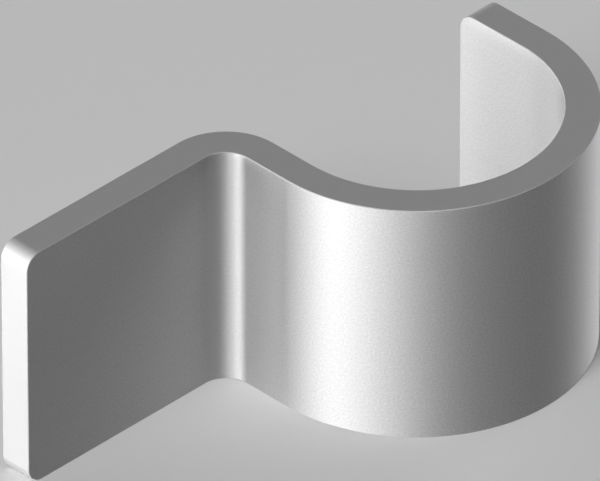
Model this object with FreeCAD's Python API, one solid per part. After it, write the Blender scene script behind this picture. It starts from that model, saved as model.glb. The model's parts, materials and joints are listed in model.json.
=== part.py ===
# Cable clip, folded from one length of flat steel strip.
#
# A flat tab lies against the surface that carries the clip. The strip then folds
# square off the tab, runs down as a short leg, turns half a circle round the cable
# as a saddle, and comes back up as a straight lip that is parallel to the leg.
# The lip's end is level with the tab's front face, one strip thickness short of the
# mounting plane, so that the saddle can be drawn down on to the cable.
#
# Frame: the origin is the cable's axis at the lower cut edge. +Z runs along the
# cable, across the strip's width. +Y points out of the saddle to the mounting
# plane, and -X points along the tab, away from the cable.
import FreeCAD, Part
import math
import os

from FreeCAD import Vector

# Driving dimensions, in millimetres.
STRIP_THICKNESS = 2.0
STRIP_WIDTH = 15.0
CABLE_DIAMETER = 16.0    # the saddle's bore, and the gap between the leg and the lip
BEND_RADIUS = 1.6        # inside radius of the fold between the tab and the leg
LEG_STRAIGHT = 3.0       # flat run of the leg, from the saddle's arc to the fold
TAB_REACH = 15.0         # from the leg's outer face to the tab's end
CORNER_RADIUS = 1.0      # the four rounded corners of the cut blank
EDGE_BREAK = 0.05        # radius that tumbling leaves on the sheared edges

# Places that follow from the driving dimensions.
BORE_RADIUS = CABLE_DIAMETER / 2
FOLD_OUTER_RADIUS = BEND_RADIUS + STRIP_THICKNESS
FOLD_CENTRE = Vector(-BORE_RADIUS - FOLD_OUTER_RADIUS, LEG_STRAIGHT, 0)
TAB_END_X = -BORE_RADIUS - STRIP_THICKNESS - TAB_REACH
MOUNTING_PLANE_Y = LEG_STRAIGHT + FOLD_OUTER_RADIUS
LIP_END_Y = MOUNTING_PLANE_Y - STRIP_THICKNESS

PARTS_FOLDER = "parts"
SAME_PLACE = 1e-4        # two places closer than this are one place
SMOOTH_ANGLE = math.radians(5)   # faces that meet at less than this run on smoothly


def arc_about(centre, radius, start, end):
    """An arc from one angle to another, in degrees counted from +X towards +Y."""

    def point(degrees):
        angle = math.radians(degrees)
        return centre + Vector(radius * math.cos(angle), radius * math.sin(angle), 0)

    return Part.Arc(point(start), point((start + end) / 2), point(end)).toShape()


def seat_side_run():
    """The strip's run as one wire: the side that meets the mounting surface and the cable."""
    tab_start = Vector(TAB_END_X, MOUNTING_PLANE_Y, 0)
    fold_start = FOLD_CENTRE + Vector(0, FOLD_OUTER_RADIUS, 0)
    fold_end = FOLD_CENTRE + Vector(FOLD_OUTER_RADIUS, 0, 0)
    saddle_start = Vector(-BORE_RADIUS, 0, 0)
    saddle_end = Vector(BORE_RADIUS, 0, 0)
    lip_end = Vector(BORE_RADIUS, LIP_END_Y, 0)
    return Part.Wire([
        Part.makeLine(tab_start, fold_start),
        arc_about(FOLD_CENTRE, FOLD_OUTER_RADIUS, 90, 0),
        Part.makeLine(fold_end, saddle_start),
        arc_about(Vector(0, 0, 0), BORE_RADIUS, 180, 360),
        Part.makeLine(saddle_end, lip_end),
    ])


def folded_strip():
    """The run given the strip's thickness on its outer side, and its width along the cable."""
    section = seat_side_run().makeOffset2D(STRIP_THICKNESS, fill=True, openResult=True)
    return section.extrude(Vector(0, 0, STRIP_WIDTH))


def blank_corner_edges(strip):
    """The four edges through the thickness where the blank's ends meet its sides."""

    def at_an_end(point):
        at_tab_end = abs(point.x - TAB_END_X) < SAME_PLACE
        at_lip_end = abs(point.y - LIP_END_Y) < SAME_PLACE and point.x > 0
        return at_tab_end or at_lip_end

    def through_the_thickness(edge):
        first, last = (vertex.Point for vertex in edge.Vertexes)
        is_flat = abs(first.z - last.z) < SAME_PLACE
        return is_flat and abs(edge.Length - STRIP_THICKNESS) < SAME_PLACE

    return [
        edge for edge in strip.Edges
        if through_the_thickness(edge) and all(at_an_end(v.Point) for v in edge.Vertexes)
    ]


def sharp_edges(strip):
    """The edges where two faces meet at an angle, and don't run on smoothly."""

    def normal_at(face, point):
        u, v = face.Surface.parameter(point)
        return face.normalAt(u, v)

    def is_sharp(edge):
        middle = edge.valueAt((edge.FirstParameter + edge.LastParameter) / 2)
        one, other = strip.ancestorsOfType(edge, Part.Face)
        return normal_at(one, middle).getAngle(normal_at(other, middle)) > SMOOTH_ANGLE

    return [edge for edge in strip.Edges if is_sharp(edge)]


def cable_clip():
    """The finished clip: folded, with the blank's corners rounded and every sheared edge broken."""
    strip = folded_strip()
    rounded = strip.makeFillet(CORNER_RADIUS, blank_corner_edges(strip))
    return rounded.makeFillet(EDGE_BREAK, sharp_edges(rounded))


def main():
    os.makedirs(PARTS_FOLDER, exist_ok=True)
    clip = cable_clip()
    clip.exportStep(os.path.join(PARTS_FOLDER, "clip_strip.step"))


main()
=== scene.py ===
import json
import math
from collections import namedtuple
from itertools import accumulate

import bpy
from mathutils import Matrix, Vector


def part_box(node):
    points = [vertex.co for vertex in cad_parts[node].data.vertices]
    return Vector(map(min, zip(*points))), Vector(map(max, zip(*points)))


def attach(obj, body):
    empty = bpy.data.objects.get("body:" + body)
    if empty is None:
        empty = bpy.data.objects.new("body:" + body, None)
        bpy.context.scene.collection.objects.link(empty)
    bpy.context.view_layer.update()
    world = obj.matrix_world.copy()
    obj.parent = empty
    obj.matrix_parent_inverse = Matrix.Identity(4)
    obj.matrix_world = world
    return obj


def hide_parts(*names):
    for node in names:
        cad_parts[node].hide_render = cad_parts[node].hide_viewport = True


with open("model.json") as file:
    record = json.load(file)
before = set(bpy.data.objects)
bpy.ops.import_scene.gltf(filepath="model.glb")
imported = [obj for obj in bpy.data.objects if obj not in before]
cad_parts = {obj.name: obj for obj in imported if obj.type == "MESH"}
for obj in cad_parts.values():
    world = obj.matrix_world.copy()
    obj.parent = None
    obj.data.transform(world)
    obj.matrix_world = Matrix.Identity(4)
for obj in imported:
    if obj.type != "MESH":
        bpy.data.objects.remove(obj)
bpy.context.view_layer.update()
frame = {"record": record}

NODE = "clip_strip"
MILLIMETRE = 0.001

# The strip's sizes, from the solid's box and the cable's seat.
LOWEST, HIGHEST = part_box(NODE)
CABLE_SEAT = next(mount for mount in frame["record"]["mounts"] if mount["name"] == "cable_seat")
BORE_RADIUS = CABLE_SEAT["dims"]["r_mm"] * MILLIMETRE
THICKNESS = HIGHEST.x - BORE_RADIUS
WIDTH = HIGHEST.z - LOWEST.z
MOUNTING_PLANE_Y = HIGHEST.y

# The sizes of its bends and edges that no box gives.
BEND_RADIUS = 1.6 * MILLIMETRE       # inside radius of the fold between the tab and the leg
CORNER_RADIUS = 1.0 * MILLIMETRE     # the four rounded corners of the cut blank
EDGE_BREAK = 0.05 * MILLIMETRE       # radius that tumbling leaves on the sheared edges

# How finely the mesh is divided.
ARC_STEP = math.radians(2)           # along the bends
FLAT_STEP = 1.25 * MILLIMETRE        # along the flats
CORNER_STEPS = 8                     # round each corner of the blank
BREAK_STEPS = 4                      # round the section of each broken edge
ROWS = 12                            # across the strip, an even number

# The photograph's frame, and what its isometric view shows. Pixels count from its top left.
PICTURE_WIDTH, PICTURE_HEIGHT = 600, 481
AZIMUTH = math.radians(-45)
ELEVATION = math.atan(1 / math.sqrt(2))
PIXELS_TO_METRE = 18510              # of a length that lies across the view
CENTRE_PIXEL = (341.0, 287.5)        # where the middle of the clip's box shows

# The camera's lens and sensor in millimetres, and the range it sees as shares of its distance.
LENS = 1150                          # long enough that parallel edges stay nearly parallel
SENSOR_WIDTH = 36
NEAREST_SEEN = 0.01
FARTHEST_SEEN = 10


# The strip's mesh

class StripRun:
    """The strip's run as flat stretches and bends, along the side that meets the cable."""

    def __init__(self):
        fold_radius = BEND_RADIUS + THICKNESS
        quarter = math.pi / 2
        # Each stretch is its length and the angle that it turns through, to the left.
        self.stretches = [
            (-BORE_RADIUS - fold_radius - LOWEST.x, 0.0),
            (fold_radius * quarter, -quarter),
            (MOUNTING_PLANE_Y - fold_radius, 0.0),
            (BORE_RADIUS * math.pi, math.pi),
            (MOUNTING_PLANE_Y - THICKNESS, 0.0),
        ]
        self.length = sum(length for length, _ in self.stretches)

    def at(self, distance):
        """The place and the heading at a distance from the tab's end."""
        place = Vector((LOWEST.x, MOUNTING_PLANE_Y, 0))
        heading = 0.0
        for length, turn in self.stretches:
            step = min(distance, length)
            turned = turn * step / length
            chord = step if turn == 0 else 2 * length / turn * math.sin(turned / 2)
            middle = heading + turned / 2
            place += chord * Vector((math.cos(middle), math.sin(middle), 0))
            heading += turned
            distance -= step
        return place, heading

    def turn_at(self, distance):
        """The turn of the stretch that holds a distance from the tab's end."""
        ends = accumulate(length for length, _ in self.stretches)
        return next(turn for end, (_, turn) in zip(ends, self.stretches) if distance < end)

    def divisions(self):
        """The distances at which the run is divided, fine in the bends and coarse in the flats."""
        marks = [0.0]
        for length, turn in self.stretches:
            steps = math.ceil(abs(turn) / ARC_STEP) or math.ceil(length / FLAT_STEP)
            start = marks[-1]
            marks += [start + length * step / steps for step in range(1, steps + 1)]
        return marks


# A column of the blank's grid: how far along the strip it lies, half its width across
# the strip, and the angle of the blank's outline there, from 0 at the tab's end
# through a quarter turn along the sides to a half turn at the lip's end.
Column = namedtuple("Column", "distance half_width angle")

# The clip's material slots: the strip's rolled faces, those of them that bending has stretched,
# the cut wall round the blank, and the wall's two broken edges.
ROLLED, STRETCHED, CUT, BROKEN = 0, 1, 2, 3

# The flat map lays the mesh out in four upright bands side by side: the two rolled faces, then
# the two halves of the rim. A place on it is a width in metres and a share of its band's length.
FLAT_MAP = "OFBake"                  # the name of the flat map
BAND_GAP = 1.0 * MILLIMETRE
RIM_BAND = THICKNESS + (math.pi - 2) * EDGE_BREAK    # the way along the rim's section
RIM_START = 2 * (WIDTH + BAND_GAP)
MAP_WIDTH = RIM_START + 2 * RIM_BAND + BAND_GAP
MAP_MARGIN = 0.01                    # the share of the map left free at each of its sides


def blank_columns(run):
    """The columns of the flat blank's grid, which stops where the edge break starts."""
    corner = []
    for step in range(CORNER_STEPS + 1):
        angle = math.pi / 2 * step / CORNER_STEPS
        distance = CORNER_RADIUS - (CORNER_RADIUS - EDGE_BREAK) * math.cos(angle)
        half_width = WIDTH / 2 - CORNER_RADIUS + (CORNER_RADIUS - EDGE_BREAK) * math.sin(angle)
        corner.append(Column(distance, half_width, angle))
    far_corner = [
        Column(run.length - column.distance, column.half_width, math.pi - column.angle)
        for column in corner
    ]
    between = [
        Column(mark, WIDTH / 2 - EDGE_BREAK, math.pi / 2) for mark in run.divisions()
        if CORNER_RADIUS + EDGE_BREAK < mark < run.length - CORNER_RADIUS - EDGE_BREAK
    ]
    return corner + between + far_corner[::-1]


def outline_ring(column_count):
    """The grid's outermost points in order round the blank, as pairs of column and row.

    The ring starts at the middle of the tab's end, and is half way at the middle of the lip's end.
    """
    last = column_count - 1
    first_end = [(0, row) for row in range(ROWS)]
    one_side = [(column, ROWS) for column in range(last)]
    far_end = [(last, row) for row in range(ROWS, 0, -1)]
    other_side = [(column, 0) for column in range(last, 0, -1)]
    return first_end[ROWS // 2:] + one_side + far_end + other_side + first_end[:ROWS // 2]


def lengths_reached(ring):
    """The length covered at each point of a closed ring, and at last the whole way round."""
    steps = [math.dist(one, other) for one, other in zip(ring, ring[1:] + ring[:1])]
    return list(accumulate(steps, initial=0.0))


# A level of the rim's section, from the cable's side to the outer side: how far out and how
# deep it lies, the angle that the section has turned through, and the way along the section.
Level = namedtuple("Level", "out depth angle way")


def rim_levels():
    """The levels of the rim's section, two broken edges with the cut wall between them."""
    near = []
    for step in range(BREAK_STEPS + 1):
        angle = math.pi / 2 * step / BREAK_STEPS
        out = EDGE_BREAK * math.sin(angle)
        depth = EDGE_BREAK * (1 - math.cos(angle))
        near.append(Level(out, depth, angle, EDGE_BREAK * angle))
    far = [
        Level(level.out, THICKNESS - level.depth, math.pi - level.angle, RIM_BAND - level.way)
        for level in near
    ]
    return near + far[::-1]


class StripMesh:
    """Collects points given on the flat blank, and folds them along the run."""

    def __init__(self, run):
        self.run = run
        self.places = []
        self.normals = []
        self.flat_places = []
        self.faces = []
        self.face_finishes = []
        self.map_places = []

    def add(self, distance, across, depth, normal):
        """Adds a point. Its place and normal are along the strip, across it and into its thickness."""
        place, heading = self.run.at(distance)
        ahead = Vector((math.cos(heading), math.sin(heading), 0))
        up = Vector((0, 0, 1))
        into = ahead.cross(up)
        self.places.append(place + into * depth + up * (LOWEST.z + WIDTH / 2 + across))
        self.normals.append((ahead * normal[0] + up * normal[1] + into * normal[2]).normalized())
        self.flat_places.append((distance, across, depth))
        return len(self.places) - 1

    def add_face(self, corners, finish):
        """Adds a face from its corners, which are pairs of a point and its place in the flat map."""
        self.faces.append([point for point, _ in corners])
        self.face_finishes.append(finish)
        for _, (across, along) in corners:
            shares = (across / MAP_WIDTH, along)
            self.map_places += [MAP_MARGIN + share * (1 - 2 * MAP_MARGIN) for share in shares]

    def add_sheet_face(self, columns, depth, facing, band):
        """Adds one of the strip's two rolled faces as a grid, and returns its points.

        Facing is 1 on the outer side and -1 on the cable's side, and band is where the face's band
        starts on the flat map. A bend stretches the side that lies away from its centre.
        """
        grid = []
        corners = []
        for column in columns:
            spots = [column.half_width * (2 * row / ROWS - 1) for row in range(ROWS + 1)]
            points = [self.add(column.distance, spot, depth, (0, 0, facing)) for spot in spots]
            along = column.distance / self.run.length
            map_places = [(band + WIDTH / 2 + spot, along) for spot in spots]
            grid.append(points)
            corners.append(list(zip(points, map_places)))
        for index in range(len(columns) - 1):
            one, other = corners[index:index + 2]
            middle = (columns[index].distance + columns[index + 1].distance) / 2
            finish = STRETCHED if self.run.turn_at(middle) * facing > 0 else ROLLED
            for row in range(ROWS):
                quad = [one[row], other[row], other[row + 1], one[row + 1]]
                self.add_face(quad if facing > 0 else quad[::-1], finish)
        return grid

    def add_strand(self, column, side, across, near_point, far_point):
        """Adds the rim's points at one place of its ring, from one rolled face to the other."""
        outward = (-math.cos(column.angle), side * math.sin(column.angle))
        strand = [near_point]
        for level in rim_levels()[1:-1]:
            place = (column.distance + outward[0] * level.out, across + outward[1] * level.out)
            lean = math.sin(level.angle)
            normal = (outward[0] * lean, outward[1] * lean, -math.cos(level.angle))
            strand.append(self.add(*place, level.depth, normal))
        return strand + [far_point]

    def add_rim(self, columns, near_grid, far_grid):
        """Joins the two rolled faces by the broken edges and the cut wall, all round the blank."""
        ring = []
        strands = []
        for index, row in outline_ring(len(columns)):
            column = columns[index]
            side = 1 if row > ROWS / 2 else -1
            across = column.half_width * (2 * row / ROWS - 1)
            near_point, far_point = near_grid[index][row], far_grid[index][row]
            ring.append((column.distance, across))
            strands.append(self.add_strand(column, side, across, near_point, far_point))
        reached = lengths_reached(ring)
        ways = [level.way for level in rim_levels()]
        for position, one in enumerate(strands):
            other = strands[(position + 1) % len(strands)]
            half = position * 2 // len(strands)
            band = RIM_START + half * (RIM_BAND + BAND_GAP)
            lengths = reached[position:position + 2]
            start, end = (length * 2 / reached[-1] - half for length in lengths)
            for level in range(len(ways) - 1):
                finish = CUT if level == BREAK_STEPS else BROKEN
                left, right = band + ways[level], band + ways[level + 1]
                self.add_face([
                    (one[level], (left, start)),
                    (one[level + 1], (right, start)),
                    (other[level + 1], (right, end)),
                    (other[level], (left, end)),
                ], finish)

    def make_piece(self, name):
        """The mesh as a piece, with its normals and what its material needs to know of each point."""
        mesh = bpy.data.meshes.new(name)
        mesh.from_pydata(self.places, [], self.faces)
        mesh.shade_smooth()
        mesh.normals_split_custom_set_from_vertices(self.normals)
        flat_place = mesh.attributes.new("flat_place", "FLOAT_VECTOR", "POINT")
        flat_place.data.foreach_set("vector", [value for place in self.flat_places for value in place])
        mesh.polygons.foreach_set("material_index", self.face_finishes)
        mesh.uv_layers.new(name=FLAT_MAP).uv.foreach_set("vector", self.map_places)
        piece = bpy.data.objects.new(name, mesh)
        bpy.context.scene.collection.objects.link(piece)
        return piece


def folded_strip():
    """The clip as one closed mesh: the blank's two faces and its rim, folded along the run."""
    run = StripRun()
    strip = StripMesh(run)
    columns = blank_columns(run)
    cable_side = strip.add_sheet_face(columns, 0.0, -1, 0.0)
    outer_side = strip.add_sheet_face(columns, THICKNESS, 1, WIDTH + BAND_GAP)
    strip.add_rim(columns, cable_side, outer_side)
    return strip.make_piece("folded_strip")


# Materials

STEEL_GREY = 0.6
ROLLED_ROUGHNESS = 0.68
STRETCHED_ROUGHNESS = 0.76           # a bend opens the grain a little on its outer side
CUT_ROUGHNESS = 0.7
BROKEN_ROUGHNESS = 0.95              # tumbling leaves the broken edges dull
ROLLED_ANISOTROPY = 0.8              # the grain runs along the strip, so light spreads across it
FLOOR_GREY = 0.72

# The rolled faces have the plating's fine tooth, and long faint lines that rolling left along
# the strip. The cut edge has the short marks of the shear, through the strip's thickness.
# Each swing is how far its pattern moves a value to either side.
TOOTH_SIZE = 0.1 * MILLIMETRE
TOOTH_HEIGHT = 0.004 * MILLIMETRE
TOOTH_GREY_SWING = 0.11
LINE_LENGTH = 8.0 * MILLIMETRE
LINE_WIDTH = 0.2 * MILLIMETRE
LINE_ROUGHNESS_SWING = 0.04
MARK_LENGTH = 1.5 * MILLIMETRE
MARK_WIDTH = 0.15 * MILLIMETRE
MARK_GREY_SWING = 0.01
MARK_ROUGHNESS_SWING = 0.02


class SteelMaterial:
    """A plated steel whose finish is made of noise that is laid over the flat blank."""

    def __init__(self, name):
        self.material = bpy.data.materials.new(name)
        self.material.use_nodes = True
        self.nodes = self.material.node_tree.nodes
        self.links = self.material.node_tree.links
        self.shader = self.nodes["Principled BSDF"]
        self.shader.inputs["Metallic"].default_value = 1

    def noise(self, cell):
        """Noise whose cells have the given size along the strip, across it and into its thickness."""
        place = self.nodes.new("ShaderNodeAttribute")
        place.attribute_name = "flat_place"
        scaled = self.nodes.new("ShaderNodeVectorMath")
        scaled.operation = "DIVIDE"
        scaled.inputs[1].default_value = cell
        pattern = self.nodes.new("ShaderNodeTexNoise")
        pattern.inputs["Scale"].default_value = 1
        pattern.inputs["Detail"].default_value = 1
        self.links.new(place.outputs["Vector"], scaled.inputs[0])
        self.links.new(scaled.outputs["Vector"], pattern.inputs["Vector"])
        return pattern.outputs["Fac"]

    def swing(self, socket, middle, reach, pattern):
        """Moves one of the shader's values about its middle, as a pattern goes from 0 to 1."""
        values = self.nodes.new("ShaderNodeMapRange")
        values.inputs["To Min"].default_value = middle - reach
        values.inputs["To Max"].default_value = middle + reach
        self.links.new(pattern, values.inputs["Value"])
        self.links.new(values.outputs["Result"], self.shader.inputs[socket])

    def emboss(self, height, pattern):
        """Raises the surface by up to a height where a pattern is 1."""
        bump = self.nodes.new("ShaderNodeBump")
        bump.inputs["Distance"].default_value = height
        self.links.new(pattern, bump.inputs["Height"])
        self.links.new(bump.outputs["Normal"], self.shader.inputs["Normal"])

    def spread_across(self, anisotropy):
        """Spreads reflections across the strip, which is along Z everywhere on its rolled faces."""
        self.shader.inputs["Anisotropic"].default_value = anisotropy
        across = self.nodes.new("ShaderNodeCombineXYZ")
        across.inputs["Z"].default_value = 1
        self.links.new(across.outputs["Vector"], self.shader.inputs["Tangent"])


def rolled_steel(name, roughness):
    """The strip's rolled faces, as they left the mill or where a bend has stretched them."""
    steel = SteelMaterial(name)
    tooth = steel.noise((TOOTH_SIZE, TOOTH_SIZE, TOOTH_SIZE))
    lines = steel.noise((LINE_LENGTH, LINE_WIDTH, LINE_WIDTH))
    steel.swing("Base Color", STEEL_GREY, TOOTH_GREY_SWING, tooth)
    steel.swing("Roughness", roughness, LINE_ROUGHNESS_SWING, lines)
    steel.emboss(TOOTH_HEIGHT, tooth)
    steel.spread_across(ROLLED_ANISOTROPY)
    return steel.material


def cut_steel(name, roughness):
    """The sheared edge all round the blank, as it was cut or where tumbling has broken it."""
    steel = SteelMaterial(name)
    marks = steel.noise((MARK_WIDTH, MARK_WIDTH, MARK_LENGTH))
    steel.swing("Base Color", STEEL_GREY, MARK_GREY_SWING, marks)
    steel.swing("Roughness", roughness, MARK_ROUGHNESS_SWING, marks)
    return steel.material


def pale_floor_paint():
    """A matt paint with no gloss at all."""
    material = bpy.data.materials.new("pale_floor")
    material.use_nodes = True
    shader = material.node_tree.nodes["Principled BSDF"]
    shader.inputs["Base Color"].default_value = (FLOOR_GREY, FLOOR_GREY, FLOOR_GREY, 1)
    shader.inputs["Roughness"].default_value = 1
    shader.inputs["Specular IOR Level"].default_value = 0
    return material


# The studio

FLOOR_REACH = 3.0                    # from the middle of the floor to its sides
WORLD_STRENGTH = 0.1


def pale_floor():
    """The flat floor that the clip's lower cut edge stands on."""
    mesh = bpy.data.meshes.new("floor")
    corners = [(-1, -1), (1, -1), (1, 1), (-1, 1)]
    places = [(x * FLOOR_REACH, y * FLOOR_REACH, LOWEST.z) for x, y in corners]
    mesh.from_pydata(places, [], [(0, 1, 2, 3)])
    floor = bpy.data.objects.new("floor", mesh)
    bpy.context.scene.collection.objects.link(floor)
    mesh.materials.append(pale_floor_paint())
    return floor


def soft_sun(name, azimuth, elevation, spread, strength):
    """A soft far light. Its azimuth counts from +X towards +Y, and its angles are in degrees."""
    lamp = bpy.data.lights.new(name, "SUN")
    lamp.angle = math.radians(spread)
    lamp.energy = strength
    across, up = math.radians(azimuth), math.radians(elevation)
    towards = Vector((math.cos(up) * math.cos(across), math.cos(up) * math.sin(across), math.sin(up)))
    light = bpy.data.objects.new(name, lamp)
    light.rotation_mode = "QUATERNION"
    light.rotation_quaternion = towards.to_track_quat("Z", "Y")
    bpy.context.scene.collection.objects.link(light)


def level_sun(name, azimuth, spread, strength):
    """A soft sun that shows only the top quarter of its height over the horizon.

    Its light comes in nearly level, so hardly any of it clears the tab or the leg to fall on what
    stands behind them.
    """
    soft_sun(name, azimuth, -spread / 4, spread, strength)


def even_world():
    """A dim white light from all round."""
    world = bpy.data.worlds.new("world")
    world.use_nodes = True
    background = world.node_tree.nodes["Background"]
    background.inputs["Color"].default_value = (1, 1, 1, 1)
    background.inputs["Strength"].default_value = WORLD_STRENGTH
    bpy.context.scene.world = world


def photograph_camera():
    """The photograph's camera: its turn, its scale and where it has the clip in the picture."""
    data = bpy.data.cameras.new("camera")
    data.lens = LENS
    data.sensor_width = SENSOR_WIDTH
    camera = bpy.data.objects.new("camera", data)
    bpy.context.scene.collection.objects.link(camera)
    bpy.context.scene.camera = camera
    back = Vector((
        math.sin(AZIMUTH) * math.cos(ELEVATION),
        -math.cos(AZIMUTH) * math.cos(ELEVATION),
        math.sin(ELEVATION),
    ))
    turn = (-back).to_track_quat("-Z", "Y")
    right = turn @ Vector((1, 0, 0))
    up = turn @ Vector((0, 1, 0))
    aside = (PICTURE_WIDTH / 2 - CENTRE_PIXEL[0]) / PIXELS_TO_METRE
    above = (CENTRE_PIXEL[1] - PICTURE_HEIGHT / 2) / PIXELS_TO_METRE
    distance = LENS / SENSOR_WIDTH * PICTURE_WIDTH / PIXELS_TO_METRE
    camera.rotation_mode = "QUATERNION"
    camera.rotation_quaternion = turn
    camera.location = (LOWEST + HIGHEST) / 2 + right * aside + up * above + back * distance
    data.clip_start = distance * NEAREST_SEEN
    data.clip_end = distance * FARTHEST_SEEN


# The clip, with its materials in the order of their slots

clip = folded_strip()
clip.data.materials.append(rolled_steel("rolled_steel", ROLLED_ROUGHNESS))
clip.data.materials.append(rolled_steel("stretched_steel", STRETCHED_ROUGHNESS))
clip.data.materials.append(cut_steel("cut_steel", CUT_ROUGHNESS))
clip.data.materials.append(cut_steel("tumbled_steel", BROKEN_ROUGHNESS))
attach(clip, "root")
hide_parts(NODE)

# The studio round the clip

floor = pale_floor()
even_world()
level_sun("low_left", azimuth=178, spread=12, strength=9.2)
level_sun("low_left_behind", azimuth=170, spread=12, strength=4.35)
level_sun("low_back_left", azimuth=150, spread=4, strength=3.9)
level_sun("low_back", azimuth=136, spread=4, strength=1.3)
soft_sun("back", azimuth=106, elevation=12, spread=30, strength=0.92)
soft_sun("right", azimuth=0, elevation=12, spread=30, strength=0.95)
soft_sun("high_left", azimuth=200, elevation=45, spread=30, strength=1.86)
photograph_camera()

bpy.context.scene.view_settings.view_transform = "Standard"
